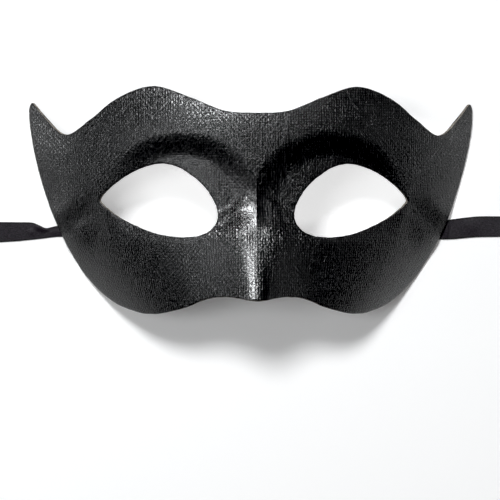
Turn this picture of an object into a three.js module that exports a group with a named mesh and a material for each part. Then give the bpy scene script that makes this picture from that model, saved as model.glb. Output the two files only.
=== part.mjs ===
// A half-face party mask with a pointed wing at each temple, lying face up, and the two
// ribbon ties that come out from under its sides. Millimetres. +Z is up, out of the face,
// +Y points to the forehead and +X to the side. The table is the plane z = 0.

import * as THREE from "three";
import { mergeVertices } from "three/addons/utils/BufferGeometryUtils.js";

// Shell, seen from the front
const maskWidth = 178;
const maskHeight = 88.7;
const wall = 1.5;

// Eye openings
const eyeWidth = 45.9;
const eyeHeight = 28.4;
const eyeSpacing = 75.5;
const eyeUp = 0;

// Arch round the face, and how far the forehead falls back from it
const archHeight = 36;
const archPower = 2.26;
const foreheadDrop = 3;
const foreheadDropUp = 21;

// Nose: a ridge from the root between the eyes to the lower edge
const noseProjection = 8;
const noseRootDip = 0.7;
const noseRootUp = 0;
const noseRootFade = 16;
const noseRootRadius = 1.5;
const noseRootSpread = 4;
const noseTopAtRoot = 0.6;
const noseTopAtTip = 2.8;
const noseFlankAtRoot = 7.3;
const noseFlankAtTip = 10;

// Swelling on which the nose stands. Its upper border runs down and out on a slant from the
// root to the eye, as a low bank, and from there it grows towards the lower edge.
const swellHeight = 6.7;
const swellReach = 25;
const swellPower = 1.1;
const swellUp = 3.8;
const swellSlant = 0.7;
const bankHeight = 0.85;
const bankWidth = 4.7;

// Eye sockets: a step under the brow, which lies round the edge of an oval
const socketDepth = 2.9;
const socketAtTemple = 1.6;
const socketInset = 8.2;
const socketReachIn = 25.5;
const socketReachOut = 24.5;
const browGap = 7.1;
const socketFadeDown = 17;
const socketFade = 15;
const socketStep = { from: 0.78, width: 0.5 };

// Ribbon ties
const ribbonWidth = 8.2;
const ribbonThickness = 1;
const ribbonClearance = 0.3;
const ribbonInside = 14;
const ribbonReach = 107;
const ties = {
  left: { exitUp: -12.4, endUp: -12.1, exitWidth: 4.6, pinchLength: 16 },
  right: { exitUp: -11.1, endUp: -9.9, exitWidth: 7.8, pinchLength: 12 },
};

// Pinch in each side between the eye corner and the tie, and the rim's lift over the tie
const pinchDepth = 1.4;
const pinchRadius = 4.5;
const rimLift = pinchDepth + ribbonThickness + 3 * ribbonClearance;
const rimLiftReach = 10;

const halfWidth = maskWidth / 2;
const halfHeight = maskHeight / 2;
const eyeOut = eyeSpacing / 2;
const eyeCorner = eyeOut + eyeWidth / 2;

// Spokes from the rim of the right eye to the edge of the mask. out and up place the outer
// end as shares of the half width and half height; eyeOut and eyeUp place the inner end,
// from the centre of the eye, as shares of half the eye's width and height.
const browSpokes = [
  { out: 0.0, up: 0.759, eyeOut: -0.718, eyeUp: 0.46 },
  { out: 0.141, up: 0.779, eyeOut: -0.536, eyeUp: 0.7 },
  { out: 0.29, up: 0.899, eyeOut: -0.333, eyeUp: 0.901 },
  { out: 0.448, up: 1.0, eyeOut: -0.03, eyeUp: 1.0 },
  { out: 0.601, up: 0.902, eyeOut: 0.272, eyeUp: 0.884 },
  { out: 0.725, up: 0.715, eyeOut: 0.523, eyeUp: 0.682 },
  { out: 0.83, up: 0.591, eyeOut: 0.701, eyeUp: 0.495 },
  { out: 0.913, up: 0.709, eyeOut: 0.798, eyeUp: 0.378 },
  { out: 0.974, up: 0.863, eyeOut: 0.847, eyeUp: 0.307 },
];
const sideSpokes = [
  { out: 0.988, up: 0.887, eyeOut: 0.876, eyeUp: 0.271 },
  { out: 0.999, up: 0.855, eyeOut: 0.9, eyeUp: 0.231 },
  { out: 0.999, up: 0.717, eyeOut: 0.943, eyeUp: 0.16 },
  { out: 0.976, up: 0.424, eyeOut: 0.986, eyeUp: 0.07 },
  { out: 0.935, up: 0.108, eyeOut: 1.0, eyeUp: -0.01 },
  { out: 0.881, up: -0.186, eyeOut: 0.957, eyeUp: -0.103 },
  { out: 0.816, up: -0.452, eyeOut: 0.846, eyeUp: -0.25 },
];
const cheekSpokes = [
  { out: 0.73, up: -0.709, eyeOut: 0.644, eyeUp: -0.478 },
  { out: 0.608, up: -0.917, eyeOut: 0.347, eyeUp: -0.712 },
  { out: 0.458, up: -1.0, eyeOut: 0.011, eyeUp: -0.91 },
  { out: 0.311, up: -0.94, eyeOut: -0.336, eyeUp: -1.0 },
  { out: 0.209, up: -0.857, eyeOut: -0.563, eyeUp: -0.99 },
  { out: 0.126, up: -0.841, eyeOut: -0.719, eyeUp: -0.94 },
];
const noseSpokes = [
  { out: 0.0, up: -0.871, eyeOut: -0.865, eyeUp: -0.82 },
  { out: 0.0, up: -0.548, eyeOut: -0.971, eyeUp: -0.595 },
  { out: 0.0, up: -0.25, eyeOut: -0.995, eyeUp: -0.349 },
  { out: 0.0, up: 0.035, eyeOut: -0.955, eyeUp: -0.099 },
  { out: 0.0, up: 0.367, eyeOut: -0.864, eyeUp: 0.165 },
];
const stepsPerSpoke = 4;

// How far along its spoke each ring of the shell lies, from the eye to the edge
const ringShares = [0, 0.05, 0.13, 0.22, 0.31, 0.4, 0.5, 0.61, 0.73, 0.87, 1];

// Line on which the sides meet the table, as shares of the half width and half height
const footprint = { cheekOut: 0.76, cheekUp: -0.614, wingUp: 0.762, power: 1.7 };

const clamp01 = (t) => Math.min(Math.max(t, 0), 1);
const mix = (from, to, share) => from + (to - from) * share;

// Rises smoothly from 0 to 1 as t goes from 0 to 1.
function ease(t) {
  const c = clamp01(t);
  return c * c * (3 - 2 * c);
}

// Half the width of the footprint at height y up the face.
function sideOut(y) {
  const { cheekOut, cheekUp, wingUp, power } = footprint;
  const down = Math.max((wingUp - y / halfHeight) / (wingUp - cheekUp), 0);
  return halfWidth * (1 - (1 - cheekOut) * down ** power);
}

// Height of the arch on the centre line: it falls back at the forehead.
function archTop(y) {
  const forehead = Math.max(y - foreheadDropUp, 0) / (halfHeight - foreheadDropUp);
  return archHeight - foreheadDrop * forehead ** 2;
}

// Nose: a straight ridge whose narrow flanks ease down to the swelling, which eases out into
// the arch. Above the root the dip fades out towards the brow.
const noseTipUp = noseSpokes[0].up * halfHeight;

function nose(x, y) {
  const run = (noseRootUp - y) / noseRootRadius;
  const fallen = noseRootRadius * Math.log1p(Math.exp(run));
  const rise = (noseProjection + noseRootDip) / (noseRootUp - noseTipUp);
  const ridge = archHeight - noseRootDip + rise * fallen;
  const fade = 1 - ease((y - noseRootUp) / noseRootFade);
  const along = clamp01((noseRootUp - y) / (noseRootUp - noseTipUp));
  const top = mix(noseTopAtRoot, noseTopAtTip, along) / 2;
  const opening = ease((noseRootUp + noseRootSpread - y) / noseRootFade);
  const flank = mix(noseFlankAtRoot, noseFlankAtTip, 0.8 * opening + 0.2 * along);
  const down = swellUp - y - swellSlant * x;
  const bank = bankHeight * ease(down / bankWidth);
  const swell = bank + swellHeight * clamp01(down / (swellUp - noseTipUp)) ** swellPower;
  const narrow = (ridge - archTop(y) - swell) * (1 - ease((x - top) / flank));
  return (narrow + swell * (1 - ease(x / swellReach))) * fade;
}

// Eye socket: inside an oval round the upper half of the eye the surface steps down. It is
// shallower at the temple and fades out below the eye corners.
const socketOut = eyeOut - socketInset;

function socket(x, y) {
  const across = (x - socketOut) / (x < socketOut ? socketReachIn : socketReachOut);
  const oval = Math.hypot(across, (y - eyeUp) / (eyeHeight / 2 + browGap));
  const step = 1 - ease((oval - socketStep.from) / socketStep.width);
  const depth = mix(socketDepth, socketAtTemple, ease((x - eyeOut) / (eyeWidth / 2)));
  return -step * depth * ease((y - eyeUp + socketFadeDown) / socketFade);
}

// Pinch in the side: a valley from the eye corner to the point where the tie comes out.
const tieUp = (ties.left.exitUp + ties.right.exitUp) / 2;

function pinch(x, y) {
  const alongX = sideOut(tieUp) - eyeCorner;
  const alongY = tieUp - eyeUp;
  const length = Math.hypot(alongX, alongY);
  const along = ((x - eyeCorner) * alongX + (y - eyeUp) * alongY) / length;
  const aside = ((y - eyeUp) * alongX - (x - eyeCorner) * alongY) / length;
  return -pinchDepth * Math.exp(-((aside / pinchRadius) ** 2)) * ease(along / length + 0.2);
}

// Lift of the side rim, which lets the tie out from under it.
function lift(x, y) {
  const beside = ease((x - eyeCorner) / (sideOut(tieUp) - eyeCorner));
  return rimLift * beside * Math.exp(-(((y - tieUp) / rimLiftReach) ** 2));
}

// Height of the outer surface above the footprint. Both halves are the same.
function front(x, y) {
  const out = Math.abs(x);
  const arch = archTop(y) * (1 - (out / sideOut(y)) ** archPower);
  return arch + nose(out, y) + socket(out, y) + pinch(out, y) + lift(out, y);
}

// Point at a depth under the outer surface, square to it.
function under(x, y, depth) {
  const h = 0.02;
  const slopeX = (front(x + h, y) - front(x - h, y)) / (2 * h);
  const slopeY = (front(x, y + h) - front(x, y - h)) / (2 * h);
  const normal = new THREE.Vector3(-slopeX, -slopeY, 1).normalize();
  return new THREE.Vector3(x, y, front(x, y)).addScaledVector(normal, -depth);
}

// Points of a smooth curve through the rows, starting at the second and ending before the
// last but one, so the first and the last row only set the direction at the ends.
function smoothPoints(rows) {
  const curve = new THREE.CatmullRomCurve3(rows, false, "centripetal");
  const spans = rows.length - 1;
  const points = [];
  for (let i = stepsPerSpoke; i < (spans - 1) * stepsPerSpoke; i++) {
    points.push(curve.getPoint(i / (spans * stepsPerSpoke)));
  }
  return points;
}

// Inner and outer end of every spoke of the right half, in order round the eye.
function spokeEnds() {
  const edgeRows = [...browSpokes, ...sideSpokes, ...cheekSpokes];
  const atEdge = ({ out, up }) => new THREE.Vector3(out * halfWidth, up * halfHeight, 0);
  const atEye = (row) =>
    new THREE.Vector3(
      eyeOut + (row.eyeOut * eyeWidth) / 2,
      eyeUp + (row.eyeUp * eyeHeight) / 2,
      0,
    );
  const mirrored = (v) => new THREE.Vector3(-v.x, v.y, 0);

  const edge = [...edgeRows, noseSpokes[0]].map(atEdge);
  const edgePoints = smoothPoints([mirrored(edge[1]), ...edge, mirrored(edge.at(-2))]);
  const line = [...noseSpokes, browSpokes[0]].map(atEdge);
  const before = line[0].clone().multiplyScalar(2).sub(line[1]);
  const after = line.at(-1).clone().multiplyScalar(2).sub(line.at(-2));
  const linePoints = smoothPoints([before, ...line, after]);
  const rim = [...edgeRows, ...noseSpokes].map(atEye);
  const rimPoints = smoothPoints([rim.at(-1), ...rim, rim[0], rim[1]]);

  const outer = [...edgePoints, ...linePoints];
  return { inner: rimPoints, outer, edgeCount: edgePoints.length };
}

// Turns vertices and faces into a geometry, with doubled vertices merged.
function closedGeometry(points, faces) {
  const geometry = new THREE.BufferGeometry();
  geometry.setAttribute(
    "position",
    new THREE.Float32BufferAttribute(points.flatMap((p) => [p.x, p.y, p.z]), 3),
  );
  geometry.setIndex(faces.flat());
  const merged = mergeVertices(geometry, 1e-4);
  merged.computeVertexNormals();
  return merged;
}

// Shell: rings of points from the eye to the edge, on the outer surface and one wall under
// it, closed round the eye and round the edge. The left half mirrors the right one and
// shares its points on the centre line.
function shellGeometry() {
  const { inner, outer, edgeCount } = spokeEnds();
  const count = inner.length;
  const rings = ringShares.length;
  const points = [];
  for (const side of [1, -1]) {
    for (const depth of [0, wall]) {
      for (const share of ringShares) {
        for (let i = 0; i < count; i++) {
          const flat = inner[i].clone().lerp(outer[i], share);
          const point = under(flat.x, flat.y, depth);
          points.push(point.setX(point.x * side));
        }
      }
    }
  }

  const at = (side, skin, ring, i) => ((side * 2 + skin) * rings + ring) * count + (i % count);
  const faces = [];
  const quad = (side, a, b, c, d) => {
    const corners = side ? [a, d, c, b] : [a, b, c, d];
    faces.push([corners[0], corners[1], corners[2]], [corners[0], corners[2], corners[3]]);
  };
  for (const side of [0, 1]) {
    for (let i = 0; i < count; i++) {
      for (let ring = 0; ring + 1 < rings; ring++) {
        const corners = (skin) => [
          at(side, skin, ring, i),
          at(side, skin, ring, i + 1),
          at(side, skin, ring + 1, i + 1),
          at(side, skin, ring + 1, i),
        ];
        quad(side, ...corners(0));
        quad(side, ...corners(1).reverse());
      }
      const rimStrip = [at(side, 0, 0, i + 1), at(side, 0, 0, i)];
      quad(side, ...rimStrip, at(side, 1, 0, i), at(side, 1, 0, i + 1));
      if (i < edgeCount) {
        const last = rings - 1;
        const edgeStrip = [at(side, 0, last, i), at(side, 0, last, i + 1)];
        quad(side, ...edgeStrip, at(side, 1, last, i + 1), at(side, 1, last, i));
      }
    }
  }
  return closedGeometry(points, faces);
}

// One line along a right-hand tie: across runs from -1 to 1 over its width and level from 0
// under it to 1 on top. The line starts at the glued end, follows the inside of the shell,
// passes under the rim and lies on the table.
function tieLine(tie, tableZ, across, level) {
  const rimOut = sideOut(tie.exitUp);
  const depth = wall + ribbonClearance + (1 - level) * ribbonThickness;
  const lying = tableZ + level * ribbonThickness;
  const inside = [1, 0.72, 0.44].map((share) =>
    under(rimOut - share * ribbonInside, tie.exitUp + (across * tie.exitWidth) / 2, depth),
  );
  const outside = [-1.2 * wall, 2, 0.5 * tie.pinchLength, tie.pinchLength].map((past) => {
    const width = mix(tie.exitWidth, ribbonWidth, ease(past / tie.pinchLength));
    return new THREE.Vector3(rimOut + past, tie.exitUp + (across * width) / 2, lying);
  });
  const end = new THREE.Vector3(ribbonReach, tie.endUp + (across * ribbonWidth) / 2, lying);
  const curve = new THREE.CatmullRomCurve3([...inside, ...outside, end], false, "centripetal");
  return curve.getPoints(35).map((point) => point.setZ(Math.max(point.z, lying)));
}

// Tie: lines along its underside and its top, joined round the section and closed at the
// ends. side is 1 on the right and -1 on the left.
function ribbonGeometry(side, tie, tableZ) {
  const section = [[-1, 0], [0, 0], [1, 0], [1, 1], [0, 1], [-1, 1]];
  const lines = section.map(([across, level]) => tieLine(tie, tableZ, across, level));
  const corners = section.length;
  const last = lines[0].length - 1;
  const at = (i, k) => i * corners + (k % corners);
  const points = [];
  for (let i = 0; i <= last; i++) {
    for (const line of lines) points.push(line[i].clone().setX(line[i].x * side));
  }
  const faces = [];
  for (let k = 0; k < corners; k++) {
    for (let i = 0; i < last; i++) {
      faces.push([at(i, k), at(i, k + 1), at(i + 1, k)]);
      faces.push([at(i, k + 1), at(i + 1, k + 1), at(i + 1, k)]);
    }
  }
  for (let k = 1; k + 1 < corners; k++) {
    faces.push([at(0, 0), at(0, k + 1), at(0, k)]);
    faces.push([at(last, 0), at(last, k), at(last, k + 1)]);
  }
  return closedGeometry(points, side > 0 ? faces : faces.map((face) => face.reverse()));
}

const paintedCloth = new THREE.MeshStandardMaterial({
  name: "black moulded cloth",
  color: 0x17171a,
  roughness: 0.45,
  metalness: 0,
});
const satin = new THREE.MeshStandardMaterial({
  name: "black satin",
  color: 0x1b181f,
  roughness: 0.35,
  metalness: 0,
});

function named(name, geometry, material) {
  const mesh = new THREE.Mesh(geometry, material);
  mesh.name = name;
  return mesh;
}

const shell = named("mask_shell", shellGeometry(), paintedCloth);
const shellBox = new THREE.Box3().setFromObject(shell);
const tableZ = shellBox.min.z;

const mask = new THREE.Group();
mask.add(shell);
mask.add(named("ribbon_left", ribbonGeometry(-1, ties.left, tableZ), satin.clone()));
mask.add(named("ribbon_right", ribbonGeometry(1, ties.right, tableZ), satin.clone()));
mask.position.set(0, -(shellBox.min.y + shellBox.max.y) / 2, -tableZ);

const part = new THREE.Group();
part.add(mask);

export default part;
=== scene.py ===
import bpy
import numpy as np
from mathutils import Matrix, Vector


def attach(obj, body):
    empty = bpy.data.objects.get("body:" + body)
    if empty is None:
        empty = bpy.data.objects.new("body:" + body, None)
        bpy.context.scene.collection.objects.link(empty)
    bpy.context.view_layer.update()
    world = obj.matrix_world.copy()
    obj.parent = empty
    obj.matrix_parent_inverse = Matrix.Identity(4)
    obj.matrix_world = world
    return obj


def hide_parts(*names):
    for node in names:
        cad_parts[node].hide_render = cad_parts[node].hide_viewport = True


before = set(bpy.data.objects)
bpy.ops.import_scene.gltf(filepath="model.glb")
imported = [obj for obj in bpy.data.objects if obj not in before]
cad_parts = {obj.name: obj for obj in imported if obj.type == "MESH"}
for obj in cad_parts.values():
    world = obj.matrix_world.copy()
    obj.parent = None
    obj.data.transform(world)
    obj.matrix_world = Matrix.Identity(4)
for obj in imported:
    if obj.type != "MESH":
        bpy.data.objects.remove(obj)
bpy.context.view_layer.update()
print("frame loaded")

# Camera: almost straight down, from the left of the middle of the mask.
camera = {
    "stand": (-0.0417, -0.01923, 0.85),
    "aim": (-0.0007, -0.01923, 0.0),
    "lens": 152.6,
    "sensor": 36,
    "near": 0.01,
    "far": 20,
}


# Puts the camera at its stand; its three axes are the cross products of its line of sight
# and the direction up the face.
def placeCamera(spec):
    data = bpy.data.cameras.new("camera")
    data.lens = spec["lens"]
    data.sensor_width = spec["sensor"]
    data.clip_start = spec["near"]
    data.clip_end = spec["far"]
    shown = bpy.data.objects.new("camera", data)
    sight = (Vector(spec["aim"]) - Vector(spec["stand"])).normalized()
    right = sight.cross(Vector((0, 1, 0))).normalized()
    up = right.cross(sight)
    turn = Matrix((right, up, -sight)).transposed().to_4x4()
    shown.matrix_world = Matrix.Translation(spec["stand"]) @ turn
    bpy.context.scene.collection.objects.link(shown)
    bpy.context.scene.camera = shown


placeCamera(camera)
print("camera placed")

# Form of the mask, in millimetres.
mask = {
    "width": 178,
    "height": 88.7,
    "wall": 1.5,
    "eyeWidth": 45.9,
    "eyeHeight": 28.4,
    "eyeOut": 37.75,
    "eyeUp": 0,
    "stepsPerSpoke": 14,
    "rings": 44,
    "cornerRadius": 0.3,
    "cutRoughness": 0.07,
    "slopeReach": 0.02,
    "gridStep": 0.4,
    "gridMargin": 2,
    "threadPitch": 1.0,
}
arch = {"top": 36, "power": 2.26, "foreheadDrop": 3, "foreheadDropUp": 21}
footprint = {"cheekOut": 0.76, "cheekUp": -0.614, "wingUp": 0.762, "power": 1.7}
noseForm = {
    "projection": 8,
    "rootDip": 0.7,
    "rootUp": 0,
    "rootFade": 16,
    "rootRadius": 1.5,
    "rootSpread": 4,
    "topAtRoot": 0.6,
    "topAtTip": 2.8,
    "flankAtRoot": 7.3,
    "flankAtTip": 10,
    "flankByDrop": 0.8,
    "tipUp": -0.871 * 44.35,
}
swell = {
    "height": 6.7,
    "reach": 25,
    "power": 1.1,
    "up": 5.4,
    "slant": 0.7,
    "crest": 1.2,
    "bankHeight": 1.0,
    "bankWidth": 4.7,
}
socketForm = {
    "depth": 2.9,
    "atTemple": 1.6,
    "out": 29.55,
    "reachIn": 25.5,
    "reachOut": 24.5,
    "browGap": 7.1,
    "fadeDown": 17,
    "fade": 15,
    "stepFrom": 0.78,
    "stepWidth": 0.5,
}
pinchForm = {
    "up": -11.75,
    "depth": 1.4,
    "radius": 4.5,
    "startShare": 0.2,
    "rimLift": 3.3,
    "rimReach": 10,
}
ties = {
    "left": {
        "side": -1,
        "exitUp": -12.4,
        "exitWidth": 4.6,
        "past": [-1.8, 2.3, 6.7, 9.3, 11.9, 18.0, 31.3],
        "upper": [-9.8, -9.6, -10.4, -9.3, -8.3, -8.1, -8.0],
        "lower": [-13.9, -14.0, -14.5, -14.8, -15.1, -15.7, -16.5],
    },
    "right": {
        "side": 1,
        "exitUp": -11.1,
        "exitWidth": 7.8,
        "past": [-1.8, 1.5, 5.3, 10.1, 15.0, 22.0, 30.7],
        "upper": [-7.2, -7.1, -6.7, -6.1, -5.65, -5.6, -5.7],
        "lower": [-15.0, -14.95, -14.85, -14.4, -14.05, -13.95, -14.0],
    },
}

# Spokes from the rim of the right eye to the edge of the mask: the outer end as shares of
# half the width and height, then the inner end from the middle of the eye.
edgeSpokes = np.array(
    [
        [0.0, 0.759, -0.718, 0.46],
        [0.141, 0.779, -0.536, 0.7],
        [0.29, 0.899, -0.333, 0.901],
        [0.448, 1.0, -0.03, 1.0],
        [0.601, 0.902, 0.272, 0.884],
        [0.725, 0.715, 0.523, 0.682],
        [0.83, 0.591, 0.701, 0.495],
        [0.913, 0.709, 0.798, 0.378],
        [0.974, 0.863, 0.847, 0.307],
        [0.988, 0.887, 0.876, 0.271],
        [0.999, 0.855, 0.9, 0.231],
        [0.999, 0.717, 0.943, 0.16],
        [0.976, 0.424, 0.986, 0.07],
        [0.935, 0.108, 1.0, -0.01],
        [0.881, -0.186, 0.957, -0.103],
        [0.816, -0.452, 0.846, -0.25],
        [0.73, -0.709, 0.644, -0.478],
        [0.608, -0.917, 0.347, -0.712],
        [0.458, -1.0, 0.011, -0.91],
        [0.311, -0.94, -0.336, -1.0],
        [0.209, -0.857, -0.563, -0.99],
        [0.126, -0.841, -0.719, -0.94],
    ]
)
noseSpokes = np.array(
    [
        [0.0, -0.871, -0.865, -0.82],
        [0.0, -0.548, -0.971, -0.595],
        [0.0, -0.25, -0.995, -0.349],
        [0.0, 0.035, -0.955, -0.099],
        [0.0, 0.367, -0.864, 0.165],
    ]
)
halfWidth = mask["width"] / 2
halfHeight = mask["height"] / 2
eyeCorner = mask["eyeOut"] + mask["eyeWidth"] / 2


# Smooth rise from 0 to 1: 3t^2 - 2t^3, held at the ends.
def ease(t):
    c = np.clip(t, 0, 1)
    return c * c * (3 - 2 * c)


# Value a share of the way from a to b: a plus the share times their difference.
def mix(a, b, share):
    return a + (b - a) * share


# Half the width of the footprint: a power curve that draws in from the wing to the cheek.
def sideOut(y):
    span = footprint["wingUp"] - footprint["cheekUp"]
    down = np.maximum((footprint["wingUp"] - y / halfHeight) / span, 0)
    return halfWidth * (1 - (1 - footprint["cheekOut"]) * down ** footprint["power"])


# Height of the arch on the centre line: level, with a square law drop at the forehead.
def archTop(y):
    forehead = np.maximum(y - arch["foreheadDropUp"], 0) / (halfHeight - arch["foreheadDropUp"])
    return arch["top"] - arch["foreheadDrop"] * forehead**2


# Nose: a straight rising ridge whose narrow flanks ease down to a broad low swelling, and
# the swelling eases out into the arch. It starts with a bank on a slant below the root.
def nose(x, y):
    f = noseForm
    fallen = f["rootRadius"] * np.logaddexp(0, (f["rootUp"] - y) / f["rootRadius"])
    rise = (f["projection"] + f["rootDip"]) / (f["rootUp"] - f["tipUp"])
    ridge = arch["top"] - f["rootDip"] + rise * fallen
    fade = 1 - ease((y - f["rootUp"]) / f["rootFade"])
    along = np.clip((f["rootUp"] - y) / (f["rootUp"] - f["tipUp"]), 0, 1)
    top = mix(f["topAtRoot"], f["topAtTip"], along) / 2
    opening = ease((f["rootUp"] + f["rootSpread"] - y) / f["rootFade"])
    flank = mix(f["flankAtRoot"], f["flankAtTip"], mix(along, opening, f["flankByDrop"]))
    down = swell["up"] - y - swell["slant"] * (np.hypot(x, swell["crest"]) - swell["crest"])
    bank = swell["bankHeight"] * ease(down / swell["bankWidth"])
    share = np.clip(down / (swell["up"] - f["tipUp"]), 0, 1)
    broad = bank + swell["height"] * share ** swell["power"]
    narrow = (ridge - archTop(y) - broad) * (1 - ease((x - top) / flank))
    return (narrow + broad * (1 - ease(x / swell["reach"]))) * fade


# Eye socket: a step down inside an oval, shallower at the temple and faded out below.
def socket(x, y):
    f = socketForm
    across = (x - f["out"]) / np.where(x < f["out"], f["reachIn"], f["reachOut"])
    oval = np.hypot(across, (y - mask["eyeUp"]) / (mask["eyeHeight"] / 2 + f["browGap"]))
    step = 1 - ease((oval - f["stepFrom"]) / f["stepWidth"])
    depth = mix(f["depth"], f["atTemple"], ease((x - mask["eyeOut"]) / (mask["eyeWidth"] / 2)))
    return -step * depth * ease((y - mask["eyeUp"] + f["fadeDown"]) / f["fade"])


# Pinch: a bell-shaped valley along the line from the eye corner to where the tie leaves.
def pinch(x, y):
    f = pinchForm
    alongX = sideOut(f["up"]) - eyeCorner
    alongY = f["up"] - mask["eyeUp"]
    length = np.hypot(alongX, alongY)
    along = ((x - eyeCorner) * alongX + (y - mask["eyeUp"]) * alongY) / length
    aside = ((y - mask["eyeUp"]) * alongX - (x - eyeCorner) * alongY) / length
    return -f["depth"] * np.exp(-((aside / f["radius"]) ** 2)) * ease(along / length + f["startShare"])


# Lift of the side rim over the tie: a bell curve up the side, growing towards the rim.
def lift(x, y):
    f = pinchForm
    beside = ease((x - eyeCorner) / (sideOut(f["up"]) - eyeCorner))
    return f["rimLift"] * beside * np.exp(-(((y - f["up"]) / f["rimReach"]) ** 2))


# Height of the outer surface: the arch falls to the footprint as a power of the share of
# the way out, and the nose, socket, pinch and lift are added to it.
def front(x, y):
    out = np.abs(x)
    body = archTop(y) * (1 - (out / sideOut(y)) ** arch["power"])
    return body + nose(out, y) + socket(out, y) + pinch(out, y) + lift(out, y)


# Point at a depth under the outer surface, measured along the surface's own normal.
def under(x, y, depth):
    reach = mask["slopeReach"]
    slopeX = (front(x + reach, y) - front(x - reach, y)) / (2 * reach)
    slopeY = (front(x, y + reach) - front(x, y - reach)) / (2 * reach)
    normal = np.stack([-slopeX, -slopeY, np.ones_like(slopeX)], -1)
    normal /= np.linalg.norm(normal, axis=-1, keepdims=True)
    return np.stack([x, y, front(x, y)], -1) - normal * np.asarray(depth)[..., None]


# Smooth curve through the rows of points: cubic pieces whose knots are spaced by the
# square root of the distance from row to row.
def curveThrough(rows, steps):
    rows = np.concatenate([2 * rows[:1] - rows[1:2], rows, 2 * rows[-1:] - rows[-2:-1]])
    knots = np.linalg.norm(np.diff(rows, axis=0), axis=-1, keepdims=True) ** 0.5
    a, b, c, d = (rows[i : len(rows) - 3 + i] for i in range(4))
    da, db, dc = (knots[i : len(knots) - 2 + i] for i in range(3))
    leave = ((b - a) / da - (c - a) / (da + db) + (c - b) / db) * db
    arrive = ((c - b) / db - (d - b) / (db + dc) + (d - c) / dc) * db
    b, c, leave, arrive = (v[:, None] for v in (b, c, leave, arrive))
    t = (np.arange(steps) / steps).reshape(1, -1, *[1] * (rows.ndim - 1))
    square = 3 * (c - b) - 2 * leave - arrive
    cube = 2 * (b - c) + leave + arrive
    curve = b + t * (leave + t * (square + t * cube))
    return np.concatenate([curve.reshape(-1, *rows.shape[1:]), rows[-2:-1]])


# The same curve without its first and last span, which only set its direction there.
def innerCurve(rows, steps):
    return curveThrough(rows, steps)[steps : -steps - 1]


# Ties: the satin ribbons, in millimetres.
ribbon = {
    "width": 8.2,
    "room": 1.0,
    "thickness": 0.34,
    "clearance": 0.3,
    "inside": 14,
    "glued": (1, 0.72, 0.44),
    "bendIn": 8,
    "bendOver": 6,
    "acrossSteps": 40,
    "alongSteps": 16,
}


# Lines along a right-hand tie, from its glued end, under the shell and the rim and along
# the table. across runs from -1 to 1 and level from 0, under the tie, to 1 on top.
def tieLines(tie, tableZ, across, level):
    rimOut = sideOut(tie["exitUp"])
    depth = mask["wall"] + ribbon["clearance"] + (1 - level) * ribbon["room"]
    lying = tableZ + level * ribbon["room"]
    rows = []
    for share in ribbon["glued"]:
        x = np.full_like(across, rimOut - share * ribbon["inside"])
        y = tie["exitUp"] + across * tie["exitWidth"] / 2
        rows.append(under(x, y, np.full_like(x, depth)))
    for past, upper, lower in zip(tie["past"], tie["upper"], tie["lower"]):
        y = mix(lower, upper, (across + 1) / 2)
        rows.append(np.stack([across * 0 + rimOut + past, y, across * 0 + lying], -1))
    lines = curveThrough(np.array(rows), ribbon["alongSteps"])
    lines[..., 2] = np.maximum(lines[..., 2], lying)
    return lines


# Four-sided faces of a grid of points, closed in one or both directions if asked.
def gridFaces(rows, columns, closeRows=False, closeColumns=False):
    i = np.arange(rows if closeRows else rows - 1)[:, None]
    j = np.arange(columns if closeColumns else columns - 1)[None]
    a, b = i * columns + j, i * columns + (j + 1) % columns
    down = (i + 1) % rows
    c, d = down * columns + (j + 1) % columns, down * columns + j
    return np.stack([a, b, c, d], -1)


# Object from points in millimetres and faces, with smooth shading and a UV map.
def makePiece(name, points, faces, uv, materials, materialOf=None):
    used, faces = np.unique(faces, return_inverse=True)
    faces = faces.reshape(-1, 4)
    mesh = bpy.data.meshes.new(name)
    mesh.from_pydata(points[used] * 0.001, [], faces)
    mesh.polygons.foreach_set("use_smooth", np.ones(len(faces), bool))
    if materialOf is not None:
        mesh.polygons.foreach_set("material_index", materialOf.astype(np.int32))
    corner = np.empty(len(mesh.loops), np.int32)
    mesh.loops.foreach_get("vertex_index", corner)
    layer = mesh.uv_layers.new(name="threads")
    layer.data.foreach_set("uv", uv[used][corner].astype(np.float32).ravel())
    for material in materials:
        mesh.materials.append(material)
    mesh.update()
    mesh.validate()
    piece = bpy.data.objects.new(name, mesh)
    bpy.context.scene.collection.objects.link(piece)
    return piece


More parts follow.
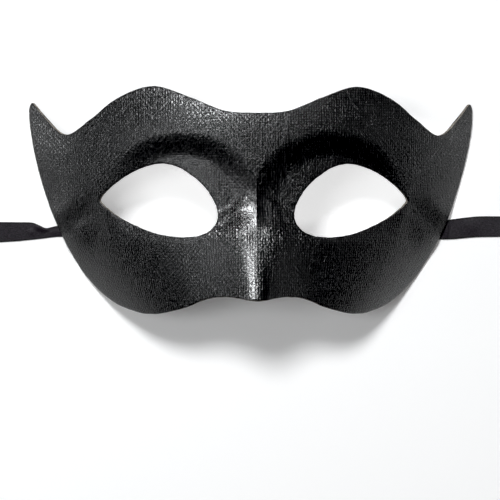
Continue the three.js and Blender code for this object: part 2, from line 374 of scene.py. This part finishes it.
# Adds nodes to a new material and links them; each method returns the output it makes.
class Nodes:
    def __init__(self, name):
        self.material = bpy.data.materials.new(name)
        self.material.use_nodes = True
        self.tree = self.material.node_tree
        self.shader = self.tree.nodes["Principled BSDF"]

    def add(self, kind, inputs=None, **settings):
        node = self.tree.nodes.new(kind)
        for key, value in settings.items():
            setattr(node, key, value)
        for key, value in (inputs or {}).items():
            self.put(node.inputs[key], value)
        return node

    def put(self, socket, value):
        if isinstance(value, bpy.types.NodeSocket):
            self.tree.links.new(value, socket)
        else:
            socket.default_value = value

    def math(self, operation, *values):
        node = self.add("ShaderNodeMath", operation=operation)
        for socket, value in zip(node.inputs, values):
            self.put(socket, value)
        return node.outputs[0]

    def range(self, value, low, high, toLow, toHigh):
        node = self.add("ShaderNodeMapRange")
        for socket, given in zip(node.inputs, (value, low, high, toLow, toHigh)):
            self.put(socket, given)
        return node.outputs[0]

    def noise(self, vector, scale, detail=2.0, roughness=0.5):
        inputs = {"Vector": vector, "Scale": scale, "Detail": detail, "Roughness": roughness}
        return self.add("ShaderNodeTexNoise", inputs).outputs["Fac"]

    def stretched(self, vector, x, y, z=1.0):
        return self.add("ShaderNodeMapping", {"Vector": vector, "Scale": (x, y, z)}).outputs[0]

    def bump(self, height, distance):
        inputs = {"Height": height, "Strength": 1.0, "Distance": distance}
        return self.add("ShaderNodeBump", inputs).outputs[0]

    def blend(self, factor, colourA, colourB):
        node = self.add("ShaderNodeMix", data_type="RGBA")
        self.put(node.inputs["Factor"], factor)
        self.put(node.inputs[6], colourA)
        self.put(node.inputs[7], colourB)
        return node.outputs[2]


# Plain weave: two families of threads. Each thread's height is its section, 1 minus the
# fourth power of the share of the way to its edge, plus a sine wave along it that lifts it
# over every second crossing, and the higher thread shows. Noise drawn out along the threads
# makes them uneven.
def weaveHeight(nodes, threads, look):
    sway = nodes.add(
        "ShaderNodeTexNoise", {"Vector": threads, "Scale": look["swayScale"], "Detail": 2.0}
    )
    shift = nodes.add("ShaderNodeVectorMath", operation="SUBTRACT")
    nodes.put(shift.inputs[0], sway.outputs["Color"])
    nodes.put(shift.inputs[1], (0.5, 0.5, 0.5))
    moved = nodes.add("ShaderNodeVectorMath", operation="MULTIPLY_ADD")
    nodes.put(moved.inputs[0], shift.outputs[0])
    nodes.put(moved.inputs[1], (look["wander"], look["wander"], 0.0))
    nodes.put(moved.inputs[2], threads)
    split = nodes.add("ShaderNodeSeparateXYZ", {"Vector": moved.outputs[0]}).outputs
    heights = []
    wide, long = look["drawn"]
    families = ((1, 0, (wide, long), look["warp"]), (0, 1, (long, wide), look["weft"]))
    for along, across, drawn, share in families:
        row = nodes.math("FLOOR", split[across])
        place = nodes.math("SUBTRACT", nodes.math("FRACT", split[across]), 0.5)
        aside = nodes.math("ABSOLUTE", nodes.math("MULTIPLY", place, 2.0))
        section = nodes.math("SUBTRACT", 1.0, nodes.math("POWER", aside, look["flatness"]))
        crossing = nodes.math("ADD", nodes.math("ADD", split[along], row), along)
        phase = nodes.math("MULTIPLY", crossing, np.pi)
        wave = nodes.math("MULTIPLY", nodes.math("SINE", phase), look["wave"])
        own = nodes.noise(nodes.stretched(moved.outputs[0], *drawn), 1.0, 2.0, 0.6)
        low, high = share * (1 - look["uneven"]), share * (1 + look["uneven"])
        size = nodes.range(own, *look["ownRange"], low, high)
        heights.append(nodes.math("MULTIPLY", nodes.math("ADD", section, wave), size))
    return nodes.math("MAXIMUM", *heights)


weaveLook = {
    "wander": 0.9,
    "swayScale": 0.23,
    "drawn": (1.3, 0.16),
    "flatness": 4.0,
    "warp": 1.2,
    "weft": 0.8,
    "wave": 0.25,
    "uneven": 0.45,
    "ownRange": (0.3, 0.7),
}
clothFinish = {
    "colour": (0.0010, 0.0010, 0.0012, 1),
    # Colour of the lighter specks: partly worn paint, partly painted glints.
    "wornAndGlints": (0.012, 0.012, 0.0136, 1),
    "roughness": (0.18, 0.32),
    "weaveRange": (0.4, 1.2),
    "polish": 0.03,
    "level": 0.65,
    "ridge": (0.003, 0.006),
    "ridgeTop": (0.0, 0.005),
    "grainScale": 1500,
    "speckRange": (0.5, 0.72),
    "slowScale": 60,
    "slowShare": 0.3,
    "wornAndGlintsRange": (0.55, 0.68),
    "threadHeight": 0.00006,
    "specks": 1.3,
    "specular": 0.46,
}


# Polish of the ridge of the nose, rubbed smoother: a share that falls straight from 1 to 0
# beside the ridge, times one that falls the same way up past the root.
def rubbed(nodes, place, finish):
    split = nodes.add("ShaderNodeSeparateXYZ", {"Vector": place}).outputs
    beside = nodes.range(nodes.math("ABSOLUTE", split[0]), *finish["ridge"], 1.0, 0.0)
    return nodes.math("MULTIPLY", beside, nodes.range(split[1], *finish["ridgeTop"], 1.0, 0.0))


# Painted cloth: black paint over a plain weave. Its height is the weave plus small lumps,
# its gloss grows straight with the weave's height, and specks where grain is high are lighter: worn
# paint and painted glints.
def paintedCloth(finish):
    nodes = Nodes("painted_cloth")
    threads = nodes.add("ShaderNodeUVMap", uv_map="threads").outputs[0]
    place = nodes.add("ShaderNodeTexCoord").outputs["Object"]
    weave = weaveHeight(nodes, threads, weaveLook)
    grain = nodes.noise(place, finish["grainScale"], 2.0, 0.6)
    specks = nodes.range(grain, *finish["speckRange"], 0.0, finish["specks"])
    slow = nodes.noise(place, finish["slowScale"], 3.0, 0.55)
    smooth = rubbed(nodes, place, finish)
    kept = nodes.math("SUBTRACT", 1.0, nodes.math("MULTIPLY", smooth, finish["level"]))
    height = nodes.math("MULTIPLY", nodes.math("ADD", weave, specks), kept)
    bump = nodes.bump(height, finish["threadHeight"])
    slowPart = nodes.math("MULTIPLY", slow, finish["slowShare"])
    grainPart = nodes.math("MULTIPLY", grain, 1 - finish["slowShare"])
    patch = nodes.math("ADD", slowPart, grainPart)
    # Lighter specks where the grain is high: partly worn paint, partly painted glints.
    wornAndGlints = nodes.range(patch, *finish["wornAndGlintsRange"], 0.0, 1.0)
    colour = nodes.blend(wornAndGlints, finish["colour"], finish["wornAndGlints"])
    nodes.put(nodes.shader.inputs["Base Color"], colour)
    low, high = finish["roughness"]
    rough = nodes.range(weave, *finish["weaveRange"], high, low)
    rough = nodes.math("SUBTRACT", rough, nodes.math("MULTIPLY", smooth, finish["polish"]))
    nodes.put(nodes.shader.inputs["Roughness"], rough)
    nodes.put(nodes.shader.inputs["Normal"], bump)
    nodes.put(nodes.shader.inputs["Specular IOR Level"], finish["specular"])
    return nodes.material


cutFinish = {
    "fibre": (0.30, 0.27, 0.23, 1),
    "core": (0.05, 0.045, 0.04, 1),
    "roughness": 0.9,
    "speckScale": 1500,
    "speckRange": (0.38, 0.62),
    "speckHeight": 0.0002,
}


# Cut edge: bare grey-brown fibres, mixed and raised by one fine noise.
def cutEdge(finish):
    nodes = Nodes("cut_edge")
    place = nodes.add("ShaderNodeTexCoord").outputs["Object"]
    speck = nodes.noise(place, finish["speckScale"], 4.0, 0.65)
    bump = nodes.bump(speck, finish["speckHeight"])
    share = nodes.range(speck, *finish["speckRange"], 0.0, 1.0)
    nodes.put(nodes.shader.inputs["Base Color"], nodes.blend(share, finish["core"], finish["fibre"]))
    nodes.put(nodes.shader.inputs["Roughness"], finish["roughness"])
    nodes.put(nodes.shader.inputs["Normal"], bump)
    return nodes.material


liningFinish = {
    "colour": (0.010, 0.010, 0.011, 1),
    "faded": (0.022, 0.021, 0.021, 1),
    "roughness": 0.85,
    "weaveRange": (0.3, 1.2),
    "threadHeight": 0.00014,
}


# Inside of the shell: the same weave, unpainted and matt, paler straight with its height.
def bareInside(finish):
    nodes = Nodes("bare_inside")
    threads = nodes.add("ShaderNodeUVMap", uv_map="threads").outputs[0]
    weave = weaveHeight(nodes, threads, weaveLook)
    bump = nodes.bump(weave, finish["threadHeight"])
    share = nodes.range(weave, *finish["weaveRange"], 0.0, 1.0)
    nodes.put(nodes.shader.inputs["Base Color"], nodes.blend(share, finish["colour"], finish["faded"]))
    nodes.put(nodes.shader.inputs["Roughness"], finish["roughness"])
    nodes.put(nodes.shader.inputs["Normal"], bump)
    return nodes.material


satinFinish = {
    "colour": (0.0030, 0.0022, 0.0034, 1),
    "paintedSheen": (0.030, 0.024, 0.033, 1),
    "selvedge": (0.0015, 0.0012, 0.0015, 1),
    "roughness": 0.42,
    "anisotropic": 0.4,
    "specular": 0.25,
    "ribPitch": 0.32,
    "ribShare": 0.3,
    "grainShare": 1.6,
    "height": 0.00008,
    "streakShare": 0.45,
    "paintedSheenRange": (0.42, 0.66),
    "selvedgeRange": (3.3, 3.8),
}


# Satin: fine cross threads as a sine ripple along the tie, with a painted sheen, a lighter colour
# mixed from streaks and grain, and darker woven edges.
def satin(finish):
    nodes = Nodes("black_satin")
    threads = nodes.add("ShaderNodeUVMap", uv_map="threads").outputs[0]
    split = nodes.add("ShaderNodeSeparateXYZ", {"Vector": threads}).outputs
    ripple = nodes.math("SINE", nodes.math("MULTIPLY", split[0], 2 * np.pi / finish["ribPitch"]))
    streak = nodes.noise(nodes.stretched(threads, 0.7, 3.0), 1.0, 3.0, 0.6)
    grain = nodes.noise(nodes.stretched(threads, 1.6, 2.0), 1.0, 2.0, 0.6)
    ribs = nodes.math("MULTIPLY", ripple, finish["ribShare"])
    lumps = nodes.math("MULTIPLY", grain, finish["grainShare"])
    bump = nodes.bump(nodes.math("ADD", ribs, lumps), finish["height"])
    streaky = nodes.math("MULTIPLY", streak, finish["streakShare"])
    grainy = nodes.math("MULTIPLY", grain, 1 - finish["streakShare"])
    mottle = nodes.math("ADD", streaky, grainy)
    # Painted sheen: a lighter colour in streaks and grain along the satin.
    share = nodes.range(mottle, *finish["paintedSheenRange"], 0.0, 1.0)
    body = nodes.blend(share, finish["colour"], finish["paintedSheen"])
    aside = nodes.math("ABSOLUTE", split[1])
    edge = nodes.range(aside, *finish["selvedgeRange"], 0.0, 1.0)
    nodes.put(nodes.shader.inputs["Base Color"], nodes.blend(edge, body, finish["selvedge"]))
    nodes.put(nodes.shader.inputs["Roughness"], finish["roughness"])
    nodes.put(nodes.shader.inputs["Anisotropic"], finish["anisotropic"])
    nodes.put(nodes.shader.inputs["Specular IOR Level"], finish["specular"])
    nodes.put(nodes.shader.inputs["Normal"], bump)
    return nodes.material


satinLook = satin(satinFinish)
print("materials ready")


# Rings of the shell's section for every spoke: outer skin, rounded corner, cut edge, inner
# skin and the same back at the eye, with the place on the surface and the depth under it.
def shellPoints():
    steps = mask["stepsPerSpoke"]
    half = np.array([halfWidth, halfHeight])
    edge = np.concatenate([edgeSpokes, noseSpokes[:1]])[:, :2] * half
    flip = np.array([-1, 1])
    edgeCurve = innerCurve(np.concatenate([edge[1:2] * flip, edge, edge[-2:-1] * flip]), steps)
    line = np.concatenate([noseSpokes, edgeSpokes[:1]])[:, :2] * half
    line = np.concatenate([2 * line[:1] - line[1:2], line, 2 * line[-1:] - line[-2:-1]])
    outer = np.concatenate([edgeCurve, innerCurve(line, steps)])
    rim = np.concatenate([edgeSpokes, noseSpokes])[:, 2:]
    rim = rim * [mask["eyeWidth"] / 2, mask["eyeHeight"] / 2] + [mask["eyeOut"], mask["eyeUp"]]
    inner = innerCurve(np.concatenate([rim[-1:], rim, rim[:2]]), steps)

    count, edgeCount = len(outer), len(edgeCurve)
    atEdge = np.arange(count) <= edgeCount
    tangent = np.roll(outer, -1, 0) - np.roll(outer, 1, 0)
    tangent[[0, edgeCount]] = [[1, 0], [-1, 0]]
    square = np.stack([tangent[:, 1], -tangent[:, 0]], -1)
    inFromEdge = square / np.linalg.norm(square, axis=1, keepdims=True) * atEdge[:, None]
    tangent = np.roll(inner, -1, 0) - np.roll(inner, 1, 0)
    square = np.stack([-tangent[:, 1], tangent[:, 0]], -1)
    inFromRim = square / np.linalg.norm(square, axis=1, keepdims=True)

    radius, wall = mask["cornerRadius"], mask["wall"]
    shares = np.linspace(0, 1, mask["rings"])
    turn = np.array([0.5, 1.0]) * np.pi / 2
    arcIn, arcDown = radius * (1 - np.sin(turn)), radius * (1 - np.cos(turn))
    stripIn = np.concatenate([arcIn, [0.02, 0.0, 0.02], arcIn[::-1]])
    flatDown = wall * np.array([0.35, 0.5, 0.65])
    stripDown = np.concatenate([arcDown, flatDown, wall - arcDown[::-1]])
    strips = len(stripIn)
    share = np.concatenate([shares, np.ones(strips), shares[::-1], np.zeros(strips)])
    inward = np.concatenate([shares * 0 + radius, stripIn, shares * 0 + radius, stripIn[::-1]])
    depth = np.concatenate([shares * 0, stripDown, shares * 0 + wall, stripDown[::-1]])

    rng = np.random.default_rng(7)
    rough = rng.normal(0, 1, (2, count))
    rough = sum(np.roll(rough, k, 1) for k in (-1, 0, 1)) / 3 * mask["cutRoughness"]
    rough[0, [0, edgeCount]] = 0
    outerEnd = outer[None] + inFromEdge * (inward[:, None, None] + rough[0][None, :, None])
    innerEnd = inner[None] + inFromRim * (inward[:, None, None] + rough[1][None, :, None])
    flat = mix(innerEnd, outerEnd, share[:, None, None])
    points = under(flat[..., 0], flat[..., 1], np.broadcast_to(depth[:, None], flat.shape[:2]))
    points[:, edgeCount:, 0][np.abs(points[:, edgeCount:, 0]) < 1e-6] = 0
    rows = len(share)
    faces = gridFaces(rows, count, True, True)[:, :, ::-1]
    ring = np.arange(rows)[:, None] * np.ones((1, count), int)
    inStrip = (ring >= mask["rings"] - 1) & (ring < mask["rings"] + strips)
    keep = ~(inStrip & (np.arange(count)[None] >= edgeCount))
    kind = np.zeros_like(ring)
    kind[mask["rings"] + strips : 2 * mask["rings"] + strips - 1] = 2
    kind[mask["rings"] : mask["rings"] + strips] = 1
    kind[2 * mask["rings"] + strips - 1 : -2] = 1
    return points, flat, faces, keep, kind


# Thread counts at every point: the arc length along x and along y over the surface,
# summed on a fine square grid and read off between its lines.
def threadCounts(flat):
    step, margin = mask["gridStep"], mask["gridMargin"]
    xs = np.arange(0, halfWidth + margin, step)
    ys = np.arange(-halfHeight - margin, halfHeight + margin, step)
    grid = front(*np.meshgrid(xs, ys, indexing="ij"))
    acrossX = np.cumsum(np.hypot(step, np.diff(grid, axis=0, prepend=grid[:1])), 0) - step
    upY = np.cumsum(np.hypot(step, np.diff(grid, axis=1, prepend=grid[:, :1])), 1)
    upY -= upY[:, [len(ys) // 2]]
    i = np.clip(flat[..., 0] / step, 0, len(xs) - 2)
    j = np.clip((flat[..., 1] - ys[0]) / step, 0, len(ys) - 2)
    i0, j0 = i.astype(int), j.astype(int)
    s, t = i - i0, j - j0
    counts = []
    for table in (acrossX, upY):
        below = mix(table[i0, j0], table[i0 + 1, j0], s)
        above = mix(table[i0, j0 + 1], table[i0 + 1, j0 + 1], s)
        counts.append(mix(below, above, t))
    return np.stack(counts, -1) / mask["threadPitch"]


points, flat, faces, keep, kind = shellPoints()
tableZ = points[..., 2].min()
shellMiddle = (points[..., 1].min() + points[..., 1].max()) / 2
toRow = np.array([0, -shellMiddle, -tableZ])


# Tie: a closed strip of two skins on the lines of its solid. It hugs the shell inside and
# the table outside, and its folds are bell-shaped ridges added to its height. Each fold gives
# its place past the rim and across, its reach both ways and its height.
def makeTie(name, tie, folds):
    count = ribbon["acrossSteps"]
    # A section runs along the top from edge to edge and back underneath.
    top = np.linspace(-1, 1, count)
    across = np.concatenate([top, top[::-1]])
    upper = np.concatenate([np.ones(count), np.zeros(count)])
    low = tieLines(tie, tableZ, across, 0.0)
    high = tieLines(tie, tableZ, across, 1.0)
    thin = ribbon["thickness"] / ribbon["room"]
    rimOut = sideOut(tie["exitUp"])
    near = 1 - ease((low[..., 0] - rimOut + ribbon["bendIn"]) / ribbon["bendOver"])
    level = near * (1 - thin) + upper * thin
    points = mix(low, high, level[..., None])
    past = points[..., 0] - rimOut
    for at, side, longWay, wide, height in folds:
        ridge = np.exp(-(((past - at) / longWay) ** 2) - ((across - side) / wide) ** 2)
        points[..., 2] += height * ridge * (1 - near)
    points[..., 0] *= tie["side"]
    points = points + toRow
    along, around = points.shape[:2]
    line = points[:, count // 2]
    length = np.cumsum(np.linalg.norm(np.diff(line, axis=0, prepend=line[:1]), axis=1))
    aside = across * ribbon["width"] / 2
    uv = np.stack(np.broadcast_arrays(length[:, None], aside[None]), -1)
    faces = gridFaces(along, around, False, True).reshape(-1, 4)
    ends = []
    for row in (0, along - 1):
        k = np.arange(count - 1)
        start = row * around
        cap = np.stack([start + k, start + k + 1, start + around - 2 - k, start + around - 1 - k], -1)
        ends.append(cap if row else cap[:, ::-1])
    faces = np.concatenate([faces, *ends])
    if tie["side"] > 0:
        faces = faces[:, ::-1]
    piece = makePiece(name, points.reshape(-1, 3), faces, uv.reshape(-1, 2), [satinLook])
    middle = (low[:, count // 2] + high[:, count // 2]) / 2 * [tie["side"], 1, 1] + toRow
    path = middle[:: ribbon["alongSteps"] // 4] * 0.001
    length = float(np.linalg.norm(np.diff(path, axis=0), axis=1).sum())
    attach(piece, "root")
    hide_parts(name.replace("tie", "ribbon"))
    print(f"{name}: {length * 1000:.1f} mm long")


foldsOf = {
    "left": [(8.5, 0.7, 2.5, 0.5, 0.8), (12.5, -0.1, 1.2, 0.35, 0.35), (2, -0.2, 3, 0.6, 0.4)],
    "right": [(2.2, 0.0, 1.0, 0.9, 0.7), (12.5, 0.2, 3.2, 0.8, 0.5)],
}
makeTie("tie_left", ties["left"], foldsOf["left"])
makeTie("tie_right", ties["right"], foldsOf["right"])
print("ties made")


# Shell: the right half and its mirror image share the points of the centre line.
def makeShell():
    flatPoints = points.reshape(-1, 3) + toRow
    uv = threadCounts(flat).reshape(-1, 2)
    total = len(flatPoints)
    shared = np.abs(flatPoints[:, 0]) < 1e-9
    mirror = np.where(shared, np.arange(total), np.arange(total) + total)
    right = faces[keep]
    left = mirror[right][:, ::-1]
    both = np.concatenate([flatPoints, flatPoints * [-1, 1, 1]])
    bothUv = np.concatenate([uv, uv * [-1, 1]])
    kinds = np.concatenate([kind[keep], kind[keep]])
    looks = [paintedCloth(clothFinish), cutEdge(cutFinish), bareInside(liningFinish)]
    piece = makePiece("shell", both, np.concatenate([right, left]), bothUv, looks, kinds)
    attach(piece, "root")
    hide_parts("mask_shell")
    return piece


shell = makeShell()
print(f"shell made, {len(shell.data.polygons)} faces")

# Table and surroundings; the patch is a painted pool of light, where the ground under the mask glows
# brightest.
studio = {
    "tableColour": (0.86, 0.86, 0.86, 1),
    "warmth": (1, 0.99, 0.98, 1),
    "toneScale": 3,
    "roughness": 0.7,
    "tableSize": 3.0,
    "tableTop": -0.0001,
    "glow": 0.17,
    "paintedPoolGlow": 0.55,
    "patch": (0.075, 0.026),
    "patchFade": (0.5, 1.5),
    "patchUp": 0.011,
    "patchOut": 0.010,
    "zenith": 0.02,
    "horizon": 0.22,
    "horizonTop": 0.3,
    "blackLevel": 0.004,
}


# Table: a square just under the mask, pale, with a slow drift of tone between two whites.
def makeTable(spec):
    nodes = Nodes("white_table")
    place = nodes.add("ShaderNodeTexCoord").outputs["Object"]
    tone = nodes.noise(place, spec["toneScale"], 2.0, 0.5)
    warm = tuple(c * f for c, f in zip(spec["tableColour"], spec["warmth"]))
    nodes.put(nodes.shader.inputs["Base Color"], nodes.blend(tone, spec["tableColour"], warm))
    nodes.put(nodes.shader.inputs["Roughness"], spec["roughness"])
    # The ground glows evenly, and as a painted pool of light it glows stronger inside an ellipse under
    # the mask, where it shows through the eye holes.
    split = nodes.add("ShaderNodeSeparateXYZ", {"Vector": place}).outputs
    wide, tall = spec["patch"]
    x = nodes.math("DIVIDE", nodes.math("SUBTRACT", split[0], spec["patchOut"]), wide)
    y = nodes.math("DIVIDE", nodes.math("SUBTRACT", split[1], spec["patchUp"]), tall)
    far = nodes.math("ADD", nodes.math("MULTIPLY", x, x), nodes.math("MULTIPLY", y, y))
    full, rest = spec["glow"] + spec["paintedPoolGlow"], spec["glow"]
    glow = nodes.range(far, *spec["patchFade"], full, rest)
    nodes.put(nodes.shader.inputs["Emission Color"], (1, 1, 1, 1))
    nodes.put(nodes.shader.inputs["Emission Strength"], glow)
    size, top = spec["tableSize"] / 2, spec["tableTop"]
    mesh = bpy.data.meshes.new("table")
    corners = [(x * size, y * size, top) for x, y in ((-1, -1), (1, -1), (1, 1), (-1, 1))]
    mesh.from_pydata(corners, [], [(0, 1, 2, 3)])
    mesh.materials.append(nodes.material)
    table = bpy.data.objects.new("table", mesh)
    bpy.context.scene.collection.objects.link(table)


lamps = {
    "core": {"zenith": 30.5, "azimuth": 110.5, "size": 0.32, "power": 15.0},
    "coreLow": {"zenith": 26, "azimuth": 122, "size": 0.3, "power": 0.8},
    "lid": {"zenith": 22.6, "azimuth": 175, "size": 0.34, "power": 2.8},
    "fillLeft": {"zenith": 40.5, "azimuth": 182, "size": 0.38, "power": 1.5},
    "fillRight": {"zenith": 51, "azimuth": 8, "size": 0.38, "power": 0.35},
    "sideLeft": {"zenith": 84, "azimuth": 180, "size": 0.24, "power": 2.1},
    "sideRight": {"zenith": 86, "azimuth": 0, "size": 0.24, "power": 0.9},
}
lampDistance = 1.3
lampColour = (0.97, 0.985, 1)


# Round softbox that faces the middle of the mask, placed by its angle from straight up and
# by its angle round the mask from +X.
def makeLamp(name, spec):
    data = bpy.data.lights.new(name, "AREA")
    data.shape = "DISK"
    data.size = spec["size"]
    data.energy = spec["power"]
    data.color = lampColour
    zenith, azimuth = np.radians(spec["zenith"]), np.radians(spec["azimuth"])
    side, up = np.sin(zenith), np.cos(zenith)
    away = Vector((side * np.cos(azimuth), side * np.sin(azimuth), up))
    lamp = bpy.data.objects.new(name, data)
    lamp.location = away * lampDistance
    lamp.rotation_euler = away.to_track_quat("Z", "Y").to_euler()
    bpy.context.scene.collection.objects.link(lamp)


# Surroundings: dim overhead and straight brighter towards the horizon.
def makeSurroundings(spec):
    world = bpy.data.worlds.new("studio")
    world.use_nodes = True
    bpy.context.scene.world = world
    tree = world.node_tree
    back = tree.nodes["Background"]
    ray = tree.nodes.new("ShaderNodeTexCoord")
    split = tree.nodes.new("ShaderNodeSeparateXYZ")
    tree.links.new(ray.outputs["Generated"], split.inputs[0])
    ramp = tree.nodes.new("ShaderNodeMapRange")
    tree.links.new(split.outputs["Z"], ramp.inputs["Value"])
    ramp.inputs["From Min"].default_value = 0.0
    ramp.inputs["From Max"].default_value = spec["horizonTop"]
    ramp.inputs["To Min"].default_value = spec["horizon"]
    ramp.inputs["To Max"].default_value = spec["zenith"]
    tree.links.new(ramp.outputs[0], back.inputs["Strength"])


makeTable(studio)
for lampName, lampSpec in lamps.items():
    makeLamp(lampName, lampSpec)
makeSurroundings(studio)
# The photograph's hard contrast: a small black level is taken off before display.
view = bpy.context.scene.view_settings
view.view_transform = "Standard"
view.use_curve_mapping = True
view.curve_mapping.black_level = (studio["blackLevel"],) * 3
view.curve_mapping.update()
print("table and lights ready")
